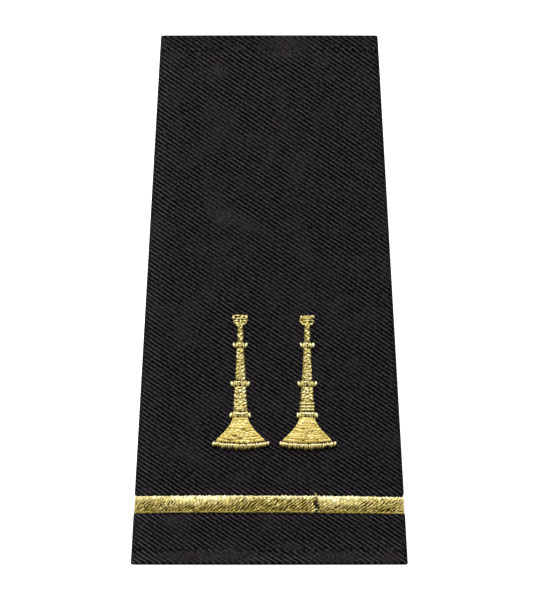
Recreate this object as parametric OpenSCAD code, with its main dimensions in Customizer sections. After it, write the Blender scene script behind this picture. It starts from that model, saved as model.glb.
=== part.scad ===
// Soft shoulder board: a tapered tube of black twill that slides over a uniform's shoulder strap.
// Two trumpets and a stripe of gold thread are stitched on its face.
// It lies on its back. +Z is out of its face and +Y towards its narrow end. The origin is the
// middle of the back's flat strip, on the floor. Millimetres.

/* [Cloth tube] */
// Length between the two hemmed ends
slide_l = 108; // [80:1:140]
// Width across the side folds at the wide end
wide_w = 56.6; // [48:0.2:70]
// Width across the side folds at the narrow end
narrow_w = 44.2; // [38:0.2:56]
// Height of the crowned face at its highest
crown_h = 8.8; // [8:0.1:14]
// Thickness of one layer of cloth
cloth_t = 1; // [0.8:0.05:1.4]
// Outer radius of the pressed fold along each side
fold_r = 1.35; // [1.1:0.05:1.8]
// Height of the side folds' middle above the floor
fold_h = 3; // [2.6:0.1:4]
// Width of the flat strip of the back that it rests on
rest_w = 24; // [14:1:28]

/* [Hems] */
// How far the cloth is turned in at each end
hem_d = 4.8; // [4:0.2:12]
// How far in from the end the pressed turn of a hem starts
hem_turn = 0.5; // [0.3:0.05:1]
// Slit between the two layers of a hem
hem_slit = 0.1; // [0.06:0.02:0.3]
// Distance of the hem's stitching from the end
stitch_in = 3.1; // [2.2:0.1:3.6]
// Width of the dent that the stitching pulls into the cloth
dent_w = 1.6; // [0.6:0.1:2.4]
// Depth of that dent
dent_d = 0.25; // [0.05:0.05:0.5]

/* [Back seam] */
// Width of the groove along the seam
seam_w = 0.9; // [0.4:0.1:2]
// Depth of that groove
seam_d = 0.4; // [0.1:0.05:0.6]

/* [Stripe] */
// Width of the gold stripe
stripe_w = 3.65; // [2:0.05:8]
// Distance of the stripe's middle from the wide end
stripe_y = 12.35; // [9:0.05:18]
// Height of the stripe along its middle
stripe_rise = 0.55; // [0.3:0.05:0.7]
// Height of the stripe along its two edges
stripe_edge = 0.25; // [0.1:0.05:0.4]
// Where the stripe's two lengths meet, right of the middle
join_x = 9.6; // [-20:0.2:20]
// Gap between the two lengths
join_gap = 0.2; // [0.1:0.05:0.6]
// Height of the stripe's middle where it bends round a fold and on the back
stripe_fold = 0.12; // [0.1:0.02:0.4]
// How far each length runs on past its fold, round to the back
stripe_wrap = 3; // [1:0.25:4]

/* [Trumpets] */
// Height of each trumpet
trumpet_h = 27.5; // [18:0.1:36]
// Width across the rim of its bell
trumpet_w = 11.4; // [8:0.1:12.8]
// Distance between the two trumpets' middles
trumpet_pitch = 13.6; // [12.4:0.2:20]
// How far the pair stands right of the middle
pair_x = 0.9; // [-4:0.1:4]
// Distance of the rims' lowest point from the wide end
trumpet_y = 23.5; // [18:0.5:50]
// Height of the gold thread at its thickest
thread_rise = 0.8; // [0.4:0.05:1]
// How far the middle of a bell's rim hangs below its two ends
rim_sag = 0.85; // [0.3:0.05:1.5]
// Gap between neighbouring fields of gold thread
field_gap = 0.12; // [0.06:0.02:0.3]
// Gap between the gold thread and the cloth
seat_gap = 0.1; // [0.06:0.02:0.3]

/* [Hidden] */
FIELD_NAMES = [
    "mouth_rim", "mouth_cup", "upper_tube", "upper_ring", "middle_tube",
    "middle_ring", "lower_tube", "lower_ring", "bell", "bell_rim"
];

LEFT = -1;
RIGHT = 1;
CLOTH_COLOUR = [0.11, 0.105, 0.11];
GOLD_COLOUR = [0.8, 0.68, 0.32];

// Height of the crown along the board: share of the length from the wide end, share of crown_h
CROWN_ROWS = [
    [0, 0.975],
    [0.08, 0.985],
    [0.28, 1],
    [0.52, 0.99],
    [0.76, 1],
    [0.92, 0.985],
    [1, 0.975]
];

// Dent along the stitching: share of half its width from its middle line, share of its depth
DENT_ROWS = [[-1, 0], [-0.5, 0.7], [0, 1], [0.5, 0.7], [1, 0]];
// Dent round the tube: place on the outline, share of its depth. The pressed folds don't give.
DENT_AROUND = [[0.85, 1], [1, 0], [2, 0], [2.25, 1]];

// Fields of gold thread, from the mouthpiece down to the rim. The lower end is a share of
// trumpet_h, the widths are shares of trumpet_w, the sags of rim_sag and the rise of thread_rise.
// A round field falls off at its two ends too, as a padded ring does.
LOW_END = 0;
TOP_W = 1;
LOW_W = 2;
TOP_SAG = 3;
LOW_SAG = 4;
RISE = 5;
ROUND = 6;
MOUTH_RIM = 0;
MOUTH_CUP = 1;
UPPER_TUBE = 2;
UPPER_RING = 3;
MIDDLE_TUBE = 4;
MIDDLE_RING = 5;
LOWER_TUBE = 6;
LOWER_RING = 7;
BELL = 8;
BELL_RIM = 9;
FIELDS = [
    [0.037, 0.28, 0.28, 0, 0, 0.8, true],
    [0.088, 0.27, 0.12, 0, 0, 0.7, false],
    [0.204, 0.11, 0.11, 0, 0, 0.7, false],
    [0.245, 0.26, 0.26, 0, 0, 1, true],
    [0.488, 0.14, 0.2, 0, 0, 0.75, false],
    [0.533, 0.345, 0.345, 0, 0, 1, true],
    [0.716, 0.23, 0.27, 0, 0, 0.75, false],
    [0.762, 0.385, 0.385, 0, 0, 1, true],
    [0.937, 0.28, 0.88, 0, 0.48, 0.75, false],
    [0.969, 0.98, 1, 0.48, 1, 1, true]
];
// How fast a bell widens: its flare stays narrow for longer above 1
FLARE = 1.4;
// A pressed turn's roundness: 1 is an ellipse, and less is squarer
TURN_ROUND = 0.5;
// Place on the face where the stripe starts to thin towards its fold
THIN_FROM = 0.8;
// Height of a field along its sides, as a share of its rise
SIDE_SHARE = 0.4;

FACE_STEPS = 11;
FOLD_STEPS = 6;
BACK_STEPS = 4;
TURN_STEPS = 6;
FIELD_ROWS = 4;
FIELD_COLUMNS = 6;
BAND_STEP = 0.12;
BAND_COLUMNS = 5;
// Least inner radius of a fold
SHARP_R = 0.12;

// Both layers of a hem and the slit between them
hem_t = 2 * cloth_t + hem_slit;
end_y = slide_l / 2;

// Half the board's width at y
function half_w(y) = (wide_w + (narrow_w - wide_w) * (y + end_y) / slide_l) / 2;

// Height of the crown at y
function top_z(y) = crown_h * lookup((y + end_y) / slide_l, CROWN_ROWS);

// Radius of the arc over the face, which meets the side folds smoothly
function face_r(y) =
    let (across = half_w(y) - fold_r, up = top_z(y) - fold_h)
    (across ^ 2 + up ^ 2 - fold_r ^ 2) / (2 * (up - fold_r));

// Radius of the arc that lifts the back from the flat strip to each fold
function back_r(y) =
    let (across = half_w(y) - fold_r - rest_w / 2)
    (across ^ 2 + fold_h ^ 2 - fold_r ^ 2) / (2 * (fold_h - fold_r));

function face_centre(y) = [0, top_z(y) - face_r(y)];
function back_centre(y) = [rest_w / 2, back_r(y)];

// Radius of a side fold at depth t below the outer surface, and its centre on the right
function fold_radius(t) = max(fold_r - t, SHARP_R);
function fold_centre(y, t) =
    let (
        face = face_centre(y),
        back = back_centre(y),
        from_face = face_r(y) - t - fold_radius(t),
        from_back = back_r(y) - t - fold_radius(t),
        apart = norm(back - face),
        way = (back - face) / apart,
        along = (apart ^ 2 + from_face ^ 2 - from_back ^ 2) / (2 * apart)
    )
    face + along * way + sqrt(from_face ^ 2 - along ^ 2) * [way.y, -way.x];

function heading(from, to) = atan2(to.y - from.y, to.x - from.x);
function on_circle(centre, radius, angle) = centre + radius * [cos(angle), sin(angle)];
function between(a, b, share) = a + (b - a) * share;

// Where the outline at y and depth t passes place c, as [x, z]. From the crown, c runs over the
// face (0 to 1), the right fold (1 to 2), the lifted back (2 to 3) and the flat strip (3 to 4).
// Negative places are on the left.
function outline(c, y, t) =
    let (
        place = abs(c),
        fold = fold_centre(y, t),
        face_angle = heading(face_centre(y), fold),
        back_angle = heading(back_centre(y), fold),
        point =
            place <= 1
                ? on_circle(face_centre(y), face_r(y) - t, between(90, face_angle, place))
                : place <= 2
                    ? on_circle(fold, fold_radius(t), between(face_angle, back_angle, place - 1))
                    : place <= 3
                        ? on_circle(
                            back_centre(y), back_r(y) - t, between(back_angle, -90, place - 2)
                        )
                        : [rest_w / 2 * (4 - place), t]
    )
    [sign(c) * point.x, point.y];

// Place on the back, a distance along the cloth past the fold
function past_fold(y, distance) =
    let (turn = heading(back_centre(y), fold_centre(y, 0)) + 90)
    2 + distance / (back_r(y) * turn * PI / 180);

// Place on the face, x from the middle
function place_at(y, x) =
    let (face_angle = heading(face_centre(y), fold_centre(y, 0)))
    asin(x / face_r(y)) / (90 - face_angle);

// Places of one ring round the tube, from the seam over the right side and back to the seam
HALF_RING = concat(
    [for (i = [0 : FACE_STEPS]) i / FACE_STEPS],
    [for (i = [1 : FOLD_STEPS]) 1 + i / FOLD_STEPS],
    [for (i = [1 : BACK_STEPS]) 2 + i / BACK_STEPS],
    [4 - seam_w / rest_w]
);
RING = concat(
    [4],
    [for (i = [len(HALF_RING) - 1 : -1 : 0]) HALF_RING[i]],
    [for (i = [1 : len(HALF_RING) - 1]) -HALF_RING[i]]
);

// The cloth's section along the board is one closed loop of [y, depth, dent, seam groove]. A row
// below is [distance from the end, depth, dent, seam groove], and end is -1 at the wide end.
function reversed(rows) = [for (i = [len(rows) - 1 : -1 : 0]) rows[i]];
function placed(rows, end) = [
    for (row = rows) [end * (end_y - row[0]), row[1], row[2], row[3]]
];

outer_rows = concat(
    [[hem_turn, 0, 0, seam_d]],
    [for (row = DENT_ROWS) [stitch_in + row[0] * dent_w / 2, 0, row[1] * dent_d, seam_d]]
);
// Squares the sine and cosine that run round a hem's turn
function pressed(value) = sign(value) * abs(value) ^ TURN_ROUND;
turned_rows = concat(
    [
        for (i = [1 : TURN_STEPS])
            let (angle = 180 * i / TURN_STEPS)
            [hem_turn * (1 - pressed(sin(angle))), hem_t / 2 * (1 - pressed(cos(angle))), 0, 0]
    ],
    [
        [hem_d, hem_t, 0, 0],
        [hem_d, cloth_t + hem_slit, 0, 0],
        [hem_t / 2, cloth_t + hem_slit, 0, 0],
        [hem_t / 2, cloth_t, 0, 0]
    ]
);
middle_ys = [for (i = [1 : len(CROWN_ROWS) - 2]) slide_l * CROWN_ROWS[i][0] - end_y];
cloth_loop = concat(
    placed(outer_rows, -1),
    [for (y = middle_ys) [y, 0, 0, seam_d]],
    reversed(placed(outer_rows, 1)),
    placed(turned_rows, 1),
    [for (y = reversed(middle_ys)) [y, cloth_t, 0, 0]],
    reversed(placed(turned_rows, -1))
);

function ring_points(row) = [
    for (c = RING)
        let (point = outline(c, row[0], row[1] + row[2] * lookup(abs(c), DENT_AROUND)))
        [point.x, row[0], point.y + (c == 4 ? row[3] : 0)]
];

function two_triangles(a, b, c, d) = [[a, b, c], [a, c, d]];
function joined(lists) = [for (list = lists) for (item = list) item];

// Solid whose skin runs through closed rings, the last of which meets the first again
module ring_solid(rings) {
    around = len(rings[0]);
    count = len(rings);
    faces = joined([
        for (j = [0 : count - 1], i = [0 : around - 1])
            let (j2 = (j + 1) % count, i2 = (i + 1) % around)
            two_triangles(j * around + i, j * around + i2, j2 * around + i2, j2 * around + i)
    ]);
    polyhedron(points = joined(rings), faces = faces, convexity = 8);
}

// Solid between two grids of points of one size, a low one and a high one
module pad_solid(low, high) {
    rows = len(low) - 1;
    columns = len(low[0]) - 1;
    wide = columns + 1;
    up = (rows + 1) * wide;
    skins = [
        for (j = [0 : rows - 1], i = [0 : columns - 1])
            let (a = j * wide + i, b = a + 1, c = b + wide, d = a + wide)
            concat(two_triangles(up + a, up + b, up + c, up + d), two_triangles(d, c, b, a))
    ];
    ends = [
        for (i = [0 : columns - 1])
            let (a = i, b = i + 1, c = rows * wide + i, d = c + 1)
            concat(two_triangles(up + b, up + a, a, b), two_triangles(up + c, up + d, d, c))
    ];
    sides = [
        for (j = [0 : rows - 1])
            let (a = j * wide, b = a + wide, c = a + columns, d = b + columns)
            concat(two_triangles(up + a, up + b, b, a), two_triangles(up + d, up + c, c, d))
    ];
    polyhedron(
        points = joined(concat(low, high)),
        faces = joined(concat(skins, ends, sides)),
        convexity = 4
    );
}

module cloth_tube() {
    color(CLOTH_COLOUR) ring_solid([for (row = cloth_loop) ring_points(row)]);
}

// Length of the stripe over the places from c1 to c2, left to right
module stripe(c1, c2) {
    y = stripe_y - end_y;
    steps = max(2, ceil((c2 - c1) / BAND_STEP));
    function station(i, share) = [
        for (k = [0 : BAND_COLUMNS])
            let (
                across = 2 * k / BAND_COLUMNS - 1,
                place = between(c1, c2, i / steps),
                middle = lookup(abs(place), [[THIN_FROM, stripe_rise], [1, stripe_fold]]),
                edge = stripe_edge * middle / stripe_rise,
                lift = seat_gap + share * between(edge, middle, sqrt(1 - across ^ 2)),
                point = outline(place, y, -lift)
            )
            [point.x, y + across * stripe_w / 2, point.y]
    ];
    pad_solid([for (i = [0 : steps]) station(i, 0)], [for (i = [0 : steps]) station(i, 1)]);
}

module stripe_long() {
    y = stripe_y - end_y;
    color(GOLD_COLOUR) stripe(-past_fold(y, stripe_wrap), place_at(y, join_x - join_gap / 2));
}

module stripe_short() {
    y = stripe_y - end_y;
    color(GOLD_COLOUR) stripe(place_at(y, join_x + join_gap / 2), past_fold(y, stripe_wrap));
}

// Point on the face at x and y, lift above the cloth
function on_face(x, y, lift) =
    [x, y, face_centre(y).y + sqrt(face_r(y) ^ 2 - x ^ 2) + lift];

// Pad of gold thread that fills one field of the trumpet on one side
module field_pad(side, field) {
    row = FIELDS[field];
    top_end = field == 0 ? 0 : FIELDS[field - 1][LOW_END];
    low_y = trumpet_y - end_y + rim_sag;
    rim_end = FIELDS[BELL_RIM][LOW_END];
    body_h = trumpet_h - rim_sag;
    first_y = low_y + body_h * (1 - top_end / rim_end) - field_gap / 2;
    last_y = low_y + body_h * (1 - row[LOW_END] / rim_end) + field_gap / 2;
    middle_x = pair_x + side * trumpet_pitch / 2;
    function width_share(down) =
        between(row[TOP_W], row[LOW_W], field == BELL ? down ^ FLARE : down);
    function crest(down, across) =
        sqrt(1 - across ^ 2) * (row[ROUND] ? sqrt(1 - (2 * down - 1) ^ 2) : 1);
    function grid(share) = [
        for (j = [0 : FIELD_ROWS])
            let (down = j / FIELD_ROWS)
            [
                for (i = [0 : FIELD_COLUMNS])
                    let (
                        across = 2 * i / FIELD_COLUMNS - 1,
                        sag = rim_sag * between(row[TOP_SAG], row[LOW_SAG], down),
                        rise = thread_rise * row[RISE] * between(SIDE_SHARE, 1, crest(down, across))
                    )
                    on_face(
                        middle_x + across * width_share(down) * trumpet_w / 2,
                        between(first_y, last_y, down) - sag * (1 - across ^ 2),
                        seat_gap + share * rise
                    )
            ]
    ];
    pad_solid(grid(0), grid(1));
}

module mouth_rim(side) {
    color(GOLD_COLOUR) field_pad(side, MOUTH_RIM);
}

module mouth_cup(side) {
    color(GOLD_COLOUR) field_pad(side, MOUTH_CUP);
}

module upper_tube(side) {
    color(GOLD_COLOUR) field_pad(side, UPPER_TUBE);
}

module upper_ring(side) {
    color(GOLD_COLOUR) field_pad(side, UPPER_RING);
}

module middle_tube(side) {
    color(GOLD_COLOUR) field_pad(side, MIDDLE_TUBE);
}

module middle_ring(side) {
    color(GOLD_COLOUR) field_pad(side, MIDDLE_RING);
}

module lower_tube(side) {
    color(GOLD_COLOUR) field_pad(side, LOWER_TUBE);
}

module lower_ring(side) {
    color(GOLD_COLOUR) field_pad(side, LOWER_RING);
}

module bell(side) {
    color(GOLD_COLOUR) field_pad(side, BELL);
}

module bell_rim(side) {
    color(GOLD_COLOUR) field_pad(side, BELL_RIM);
}

cloth_tube();
stripe_long();
stripe_short();
mouth_rim(LEFT);  // left_mouth_rim
mouth_cup(LEFT);  // left_mouth_cup
upper_tube(LEFT);  // left_upper_tube
upper_ring(LEFT);  // left_upper_ring
middle_tube(LEFT);  // left_middle_tube
middle_ring(LEFT);  // left_middle_ring
lower_tube(LEFT);  // left_lower_tube
lower_ring(LEFT);  // left_lower_ring
bell(LEFT);  // left_bell
bell_rim(LEFT);  // left_bell_rim
mouth_rim(RIGHT);  // right_mouth_rim
mouth_cup(RIGHT);  // right_mouth_cup
upper_tube(RIGHT);  // right_upper_tube
upper_ring(RIGHT);  // right_upper_ring
middle_tube(RIGHT);  // right_middle_tube
middle_ring(RIGHT);  // right_middle_ring
lower_tube(RIGHT);  // right_lower_tube
lower_ring(RIGHT);  // right_lower_ring
bell(RIGHT);  // right_bell
bell_rim(RIGHT);  // right_bell_rim
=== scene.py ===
"""Soft shoulder board of black twill, with two trumpets and a stripe of gold thread on its face.

It lies on its back on a pale floor, seen from straight above. Lengths are millimetres until a mesh
is made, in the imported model's frame: +X right, +Y towards the narrow end, +Z out of the face.
Two distances lie along the cloth: around, from the middle of the face round the tube, and along,
from halfway between the ends.
"""

import math

import bpy
import numpy as np
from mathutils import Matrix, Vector


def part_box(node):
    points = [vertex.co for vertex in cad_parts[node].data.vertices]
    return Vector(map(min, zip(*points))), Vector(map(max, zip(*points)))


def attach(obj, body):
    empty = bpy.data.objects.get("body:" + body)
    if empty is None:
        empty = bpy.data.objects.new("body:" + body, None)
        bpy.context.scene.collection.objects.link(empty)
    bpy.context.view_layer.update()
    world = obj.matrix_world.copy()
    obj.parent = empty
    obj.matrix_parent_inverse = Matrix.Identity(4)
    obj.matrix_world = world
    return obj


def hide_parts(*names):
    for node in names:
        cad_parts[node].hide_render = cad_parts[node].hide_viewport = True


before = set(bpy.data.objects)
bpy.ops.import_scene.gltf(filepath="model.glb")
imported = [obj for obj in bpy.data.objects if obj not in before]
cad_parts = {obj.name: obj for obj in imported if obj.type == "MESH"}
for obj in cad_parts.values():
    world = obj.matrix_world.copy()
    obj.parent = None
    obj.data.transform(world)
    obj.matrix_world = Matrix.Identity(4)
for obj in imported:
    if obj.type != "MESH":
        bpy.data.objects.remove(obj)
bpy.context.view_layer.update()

MM = 0.001


def node_box(node):
    """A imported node's lowest and highest corner, in millimetres."""
    low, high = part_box(node)
    return np.array(low) / MM, np.array(high) / MM


def read(table, at, column=1):
    """Values of a table's column at places between its rows, which its first column gives."""
    return np.interp(at, table[:, 0], table[:, column])


def fade(distance, reach, power=2):
    """1 at no distance, which falls to 0 past its reach, more squarely with a higher power."""
    return np.exp(-((distance / reach) ** power))


def arch(share, fullness):
    """0 at both ends of a stitch and 1 halfway, fuller with a lower number."""
    return np.clip(np.sin(np.pi * share), 0, 1) ** fullness


def wave(turns):
    """A wave from -1 to 1, which repeats at every whole turn."""
    return np.sin(math.tau * turns)


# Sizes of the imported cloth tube
tube_low, tube_high = node_box("cloth_tube")
SLIDE_L = tube_high[1] - tube_low[1]
CROWN_H = tube_high[2]
WIDE_W = 56.6
NARROW_W = 44.2
CLOTH_T = 1.0
FOLD_R = 1.35
FOLD_H = 3.0
REST_W = 24.0
SHARP_R = 0.12
HEM_D = 4.8
HEM_SLIT = 0.1
HEM_T = 2 * CLOTH_T + HEM_SLIT
HEM_TURN = 0.5
TURN_ROUND = 0.5
STITCH_IN = 3.1
SEAM_W = 0.9
SEAM_D = 0.4
END_Y = SLIDE_L / 2
# Height of the crown along the board: share of the length from the wide end, share of CROWN_H
CROWN_ROWS = np.array([
    [0, 0.975], [0.08, 0.985], [0.28, 1], [0.52, 0.99], [0.76, 1], [0.92, 0.985], [1, 0.975]
])

# The tube's outline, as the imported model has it


def half_w(y):
    """Half the board's width, from its wide end to its narrow one."""
    return (WIDE_W + (NARROW_W - WIDE_W) * (y / SLIDE_L + 0.5)) / 2


def top_z(y):
    """Height of the face along its middle."""
    return CROWN_H * read(CROWN_ROWS, y / SLIDE_L + 0.5)


def face_r(y):
    """Radius of the arc over the face."""
    across, up = half_w(y) - FOLD_R, top_z(y) - FOLD_H
    return (across**2 + up**2 - FOLD_R**2) / (2 * (up - FOLD_R))


def back_r(y):
    """Radius of the arc that lifts the back from its flat strip to each fold."""
    across = half_w(y) - FOLD_R - REST_W / 2
    return (across**2 + FOLD_H**2 - FOLD_R**2) / (2 * (FOLD_H - FOLD_R))


def fold(y, depth):
    """The right fold's centre, radius, and the angles where it meets the face and the back."""
    face_z, back_z = top_z(y) - face_r(y), back_r(y)
    radius = np.maximum(FOLD_R - depth, SHARP_R)
    from_face, from_back = face_r(y) - depth - radius, back_r(y) - depth - radius
    apart = np.hypot(REST_W / 2, back_z - face_z)
    way_x, way_z = REST_W / 2 / apart, (back_z - face_z) / apart
    on = (apart**2 + from_face**2 - from_back**2) / (2 * apart)
    off = np.sqrt(from_face**2 - on**2)
    x, z = on * way_x + off * way_z, face_z + on * way_z - off * way_x
    face_angle = np.arctan2(z - face_z, x)
    back_angle = np.arctan2(z - back_z, x - REST_W / 2)
    return x, z, radius, face_angle, back_angle


# Place of the seam on the outline
SEAM = 4.0


def outline(place, y, depth):
    """Where the outline at y and a depth passes a place: 0 is the middle of the face, 1 to 2 the
    fold, 2 to 3 the lifted back, 3 to the seam the flat strip, and negative places are on the left."""
    side, place = np.sign(place), np.abs(place)
    x, z, radius, face_angle, back_angle = fold(y, depth)
    on_face = np.pi / 2 + (face_angle - np.pi / 2) * place
    on_fold = face_angle + (back_angle - face_angle) * (place - 1)
    on_back = back_angle + (-np.pi / 2 - back_angle) * (place - 2)
    arcs = [place <= 1, place <= 2, place <= 3]
    out_x = np.select(
        arcs,
        [
            (face_r(y) - depth) * np.cos(on_face),
            x + radius * np.cos(on_fold),
            REST_W / 2 + (back_r(y) - depth) * np.cos(on_back),
        ],
        REST_W / 2 * (SEAM - place),
    )
    out_z = np.select(
        arcs,
        [
            top_z(y) - face_r(y) + (face_r(y) - depth) * np.sin(on_face),
            z + radius * np.sin(on_fold),
            back_r(y) + (back_r(y) - depth) * np.sin(on_back),
        ],
        depth,
    )
    return side * out_x, out_z


def stretches(y):
    """Lengths of the outline's face, fold, lifted back and strip, from its middle to the seam."""
    _, _, radius, face_angle, back_angle = fold(y, 0)
    return (
        face_r(y) * (np.pi / 2 - face_angle),
        radius * (face_angle - back_angle),
        back_r(y) * (back_angle + np.pi / 2),
        REST_W / 2 + 0 * y,
    )


def around_at(place, y):
    """Distance round the cloth from the middle of the face to a place."""
    shares = [np.clip(np.abs(place) - i, 0, 1) * length for i, length in enumerate(stretches(y))]
    return np.sign(place) * sum(shares)


def place_at(around, y):
    """The place at a distance round the cloth."""
    left, place = np.abs(around), 0
    for length in stretches(y):
        place = place + np.clip(left / length, 0, 1)
        left = left - length
    return np.sign(around) * place


def on_cloth(around, y, lift):
    """Points at a lift above the tube's outer face."""
    x, z = outline(place_at(around, y), y, -lift)
    return np.stack([x, y, z], axis=-1)


def off_folds(place, start=0.85):
    """1 over the face and the back, and 0 on the side folds, which are pressed straight."""
    return np.interp(np.abs(place), [start, 1, 2, 2.25], [1, 0, 0, 1])


# Making meshes


def put_in_scene(name, data):
    """A new object in the scene, which holds a mesh, a light or a camera."""
    piece = bpy.data.objects.new(name, data)
    bpy.context.scene.collection.objects.link(piece)
    return piece


class Parts:
    """Points, faces and attributes of one mesh that is put together from several shapes."""

    def __init__(self):
        self.points, self.faces, self.maps, self.values = [], [], {}, {}
        self.count = 0

    def add(self, points, faces, maps, values):
        """faces are arrays of point numbers, and maps hold a place for each corner of them."""
        self.points.append(points)
        self.faces += [face for group in faces for face in (group + self.count).tolist()]
        self.count += len(points)
        for name, places in maps.items():
            self.maps.setdefault(name, []).append(places)
        for name, value in values.items():
            self.values.setdefault(name, []).append(np.broadcast_to(value, len(points)))

    def mesh(self, name, material):
        """The object that all the shapes make together."""
        mesh = bpy.data.meshes.new(name)
        mesh.from_pydata((np.concatenate(self.points) * MM).tolist(), [], self.faces)
        for map_name, places in self.maps.items():
            layer = mesh.uv_layers.new(name=map_name)
            layer.data.foreach_set("uv", np.concatenate(places).astype(np.float32).ravel())
        for value_name, value in self.values.items():
            attribute = mesh.attributes.new(value_name, "FLOAT", "POINT")
            attribute.data.foreach_set("value", np.concatenate(value).astype(np.float32))
        mesh.polygons.foreach_set("use_smooth", np.ones(len(mesh.polygons), bool))
        mesh.materials.append(material)
        mesh.update()
        return put_in_scene(name, mesh)


# Materials

# Darkest end of the twill's colour: painted shade in its valleys and pits, and the dark of its grain
TWILL_PAINTED_SHADE_AND_GRAIN = (0.0002, 0.0001, 0.0002, 1)
TWILL_VIOLET = (0.0560, 0.0483, 0.0574, 1)
TWILL_OLIVE = (0.0566, 0.0516, 0.0505, 1)
# Painted shade down the threads' sides, between them and in their grooves
GOLD_PAINTED_SHADE = (0.040, 0.028, 0.004, 1)
GOLD_DARK = (0.40, 0.30, 0.048, 1)
GOLD_PALE = (0.79, 0.67, 0.255, 1)
# Painted highlight, towards which tints above 1 turn
GOLD_PAINTED_HIGHLIGHT = (0.97, 0.90, 0.56, 1)
# What warmer gold takes from the light of the paler one
GOLD_WARMER = (0.92, 0.85, 0.65, 1)
BLACK_DEEP = (0.002, 0.002, 0.002, 1)
BLACK_PALE = (0.012, 0.011, 0.013, 1)
# One turn of a gold thread's two plies
TWIST = 0.95


class Nodes:
    """Short ways to add and join a material's nodes."""

    def __init__(self, name):
        self.material = bpy.data.materials.new(name)
        self.material.use_nodes = True
        self.tree = self.material.node_tree
        self.shader = self.tree.nodes["Principled BSDF"]

    def put(self, socket, value):
        """Links a socket to another one, or sets it to a number or a colour."""
        if isinstance(value, bpy.types.NodeSocket):
            self.tree.links.new(value, socket)
        else:
            socket.default_value = value

    def fill(self, node, **inputs):
        """Fills a node's inputs, whose names have _ for each space."""
        for name, value in inputs.items():
            self.put(node.inputs[name.replace("_", " ")], value)
        return node

    def add(self, kind, **inputs):
        return self.fill(self.tree.nodes.new(kind), **inputs)

    def value(self, name):
        node = self.add("ShaderNodeAttribute")
        node.attribute_name = name
        return node.outputs["Fac"]

    def math(self, operation, *values):
        node = self.add("ShaderNodeMath")
        node.operation = operation
        for socket, value in zip(node.inputs, values):
            self.put(socket, value)
        return node.outputs[0]

    def plus(self, *values):
        return self.math("ADD", *values)

    def times(self, *values):
        return self.math("MULTIPLY", *values)

    def rest(self, share):
        """What a share leaves of 1."""
        return self.math("SUBTRACT", 1.0, share)

    def remap(self, value, low, high, to_low=0.0, to_high=1.0):
        node = self.add(
            "ShaderNodeMapRange", Value=value, From_Min=low, From_Max=high, To_Min=to_low, To_Max=to_high
        )
        return node.outputs["Result"]

    def noise(self, vector, scale, detail=2.0):
        return self.add("ShaderNodeTexNoise", Vector=vector, Scale=scale, Detail=detail).outputs["Fac"]

    def grain(self, scale, detail=2.0):
        """Noise that is fixed to the object."""
        return self.noise(self.add("ShaderNodeTexCoord").outputs["Object"], scale, detail)

    def joined(self, x, y, z=0.0):
        return self.add("ShaderNodeCombineXYZ", X=x, Y=y, Z=z).outputs[0]

    def mix(self, share, first, second, blend="MIX"):
        node = self.add("ShaderNodeMix")
        node.data_type = "RGBA"
        node.blend_type = blend
        # The sockets for colours come after those for numbers and vectors.
        for number, value in ((0, share), (6, first), (7, second)):
            self.put(node.inputs[number], value)
        return node.outputs[2]

    def bump(self, height, strength, distance):
        """A finely uneven surface, with a distance in millimetres."""
        node = self.add("ShaderNodeBump", Strength=strength, Distance=distance * MM, Height=height)
        return node.outputs["Normal"]


def twill():
    """Black twill: painted light on its raised wales, and painted shade, nearly black, in the valleys
    between them.
    """
    n = Nodes("black_twill")
    on, across = n.value("on_wale"), n.value("across_wales")

    def yarns(per_on, per_across, shift=0.0, detail=1.0):
        """Noise that runs with the wales."""
        return n.noise(n.joined(n.times(on, per_on), n.times(across, per_across), shift), 1.0, detail)

    # Painted light on the wales' ridges and painted shade in their valleys, times the painted light of each
    # point
    turned = n.times(n.math("SUBTRACT", across, 0.02), math.tau)
    wale = n.times(n.remap(n.math("COSINE", turned), 1.0, -1.0), n.value("wale_light"))
    notches, fills = [yarns(1.5, 1.7, shift) for shift in (7.0, 19.0)]
    contrast = n.times(n.remap(n.grain(190.0, 3.0), 0.32, 0.5, 0.66, 1.0), n.value("crisp"))
    ridge = n.times(n.math("POWER", wale, 2.2), n.remap(yarns(2.0, 1.3), 0.32, 0.68, 0.34, 0.9))
    ridge = n.times(ridge, n.remap(notches, 0.58, 0.68, 1.0, 0.45))
    valley = n.times(n.rest(wale), n.remap(fills, 0.5, 0.7, 0.0, 0.22))
    # Where the cloth is pressed flat, its grain takes the place of the wales.
    pressed = n.remap(n.grain(2200.0, 1.0), 0.35, 0.65, 0.18, 0.48)
    shade = n.plus(n.times(n.plus(ridge, valley), contrast), n.times(pressed, n.rest(contrast)))
    # The stitching of the hems shows as small pits in a row, in painted shade, with a few painted
    # highlights.
    row = n.value("hem_row")
    shade = n.times(shade, n.rest(n.times(row, n.remap(notches, 0.49, 0.56))))
    shade = n.plus(shade, n.times(row, n.remap(fills, 0.6, 0.66, 0.0, 0.7)))
    shade = n.times(shade, n.remap(n.grain(4200.0, 1.0), 0.3, 0.7, 0.68, 1.32))
    thread = n.mix(n.remap(n.grain(150.0), 0.38, 0.62), TWILL_VIOLET, TWILL_OLIVE)
    n.fill(
        n.shader,
        Base_Color=n.mix(shade, TWILL_PAINTED_SHADE_AND_GRAIN, thread),
        Roughness=0.85,
        Specular_IOR_Level=0.02,
        Normal=n.bump(yarns(9.0, 2.2, detail=4.0), strength=0.35, distance=0.06),
    )
    return n.material


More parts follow.
